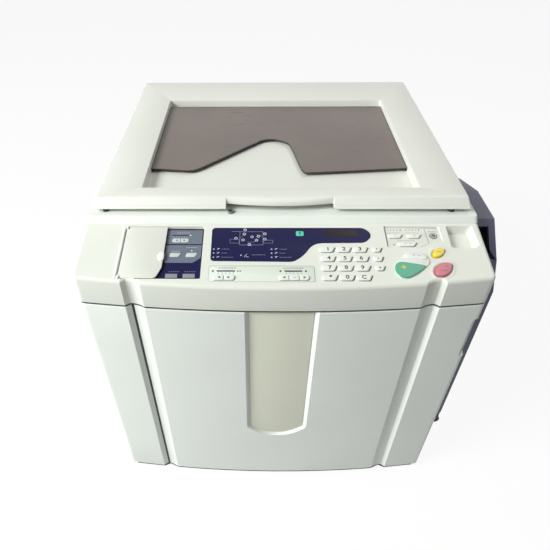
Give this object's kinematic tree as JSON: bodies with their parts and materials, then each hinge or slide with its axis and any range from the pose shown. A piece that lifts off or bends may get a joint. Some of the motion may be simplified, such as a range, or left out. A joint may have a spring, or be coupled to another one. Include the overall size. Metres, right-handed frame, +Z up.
{
  "type": "digital duplicator",
  "caption": "Office stencil duplicator: bowed front door, sloped key panel, flat scanner under a hinged lid, folded paper trays at the sides.",
  "frame": {"origin": "on the floor, under the middle of the machine's box with both trays folded", "axes": "+X to the operator's right, +Y to the rear, +Z up"},
  "size_m": [0.71, 0.65, 0.592],
  "materials": {
    "housing_white": "fine moulded grain",
    "lid_white": "fine moulded grain",
    "flap_white": "smooth satin",
    "inner_grey": "satin paint",
    "chassis_grey": "satin paint",
    "base_dark": "satin paint",
    "rubber_black": "matt",
    "black_plastic": "moulded",
    "pin_steel": "turned",
    "drum_slate": "moulded",
    "plate_beige": "satin",
    "slate_panel": "printed film",
    "key_grey": "satin",
    "navy_panel": "printed film",
    "display_dark": "polished",
    "lamp_green": "translucent",
    "pale_plate": "printed film",
    "mode_grey": "printed film",
    "key_white": "satin",
    "button_grey": "satin",
    "key_green": "satin",
    "key_pink": "satin",
    "key_yellow": "satin",
    "glass_clear": "polished",
    "smoked_sheet": "scuffed translucent sheet",
    "pad_white": "smooth film",
    "tray_navy": "fine moulded grain"
  },
  "bodies": {
    "machine": {"feet": "rubber_black", "base_pan": "base_dark", "chassis": "chassis_grey", "side_cover_left": "housing_white", "side_cover_right": "housing_white", "rear_cover": "housing_white", "power_inlet": "black_plastic", "left_front_cover": "housing_white", "inner_panel": "inner_grey", "drum_unit": "drum_slate", "door_hinge_pins": "pin_steel", "control_housing": "housing_white", "sub_panel": "slate_panel", "sub_panel_keys": "key_grey", "display_panel": "navy_panel", "display_window": "display_dark", "mode_lamp": "lamp_green", "adjust_plate": "pale_plate", "adjust_keys": "key_white", "number_keys": "key_white", "side_keys": "key_white", "mode_plate": "mode_grey", "mode_keys": "key_white", "round_button": "button_grey", "scanner_housing": "housing_white", "platen_glass": "glass_clear", "lid_bumpers": "rubber_black", "lid_sensor": "pin_steel", "lid_hinge_pins": "pin_steel", "tray_brackets": "black_plastic", "tray_knobs": "black_plastic", "feed_tray": "tray_navy", "feed_tray_hinges": "black_plastic"},
    "door": {"front_door": "housing_white", "name_plate": "plate_beige"},
    "lid": {"lid_cover": "lid_white", "lid_sheet": "smoked_sheet", "lid_pad": "pad_white"},
    "tray": {"receiving_tray": "tray_navy", "paper_guides": "tray_navy"},
    "flap": {"panel_flap": "flap_white"},
    "start_key": {"start_key": "key_green"},
    "stop_key": {"stop_key": "key_pink"},
    "reset_key": {"reset_key": "key_yellow"},
    "proof_key": {"proof_key": "key_white"}
  },
  "joints": [
    {"name": "door_swing", "type": "hinge", "parent": "machine", "child": "door", "pos_m": [-0.215, -0.3053, 0.25], "axis": [0, 0, -1], "range_deg": [0, 90]},
    {"name": "lid_open", "type": "hinge", "parent": "machine", "child": "lid", "pos_m": [0, 0.32, 0.5725], "axis": [-1, 0, 0], "range_deg": [0, 65]},
    {"name": "tray_fold", "type": "hinge", "parent": "machine", "child": "tray", "pos_m": [0.344, 0, 0.088], "axis": [0, 1, 0], "range_deg": [0, 90]},
    {"name": "flap_open", "type": "hinge", "parent": "machine", "child": "flap", "pos_m": [-0.2415, -0.25589, 0.54937], "axis": [0, -0.9823, -0.1874], "range_deg": [0, 140]},
    {"name": "start_press", "type": "slide", "parent": "machine", "child": "start_key", "axis": [0, 0.1874, -0.9823], "range_m": [0, 0.0015], "stiffness_N_per_m": 700, "springref_m": -0.0008},
    {"name": "stop_press", "type": "slide", "parent": "machine", "child": "stop_key", "axis": [0, 0.1874, -0.9823], "range_m": [0, 0.0015], "stiffness_N_per_m": 700, "springref_m": -0.0008},
    {"name": "reset_press", "type": "slide", "parent": "machine", "child": "reset_key", "axis": [0, 0.1874, -0.9823], "range_m": [0, 0.0015], "stiffness_N_per_m": 700, "springref_m": -0.0008},
    {"name": "proof_press", "type": "slide", "parent": "machine", "child": "proof_key", "axis": [0, 0.1874, -0.9823], "range_m": [0, 0.0015], "stiffness_N_per_m": 700, "springref_m": -0.0008}
  ]
}
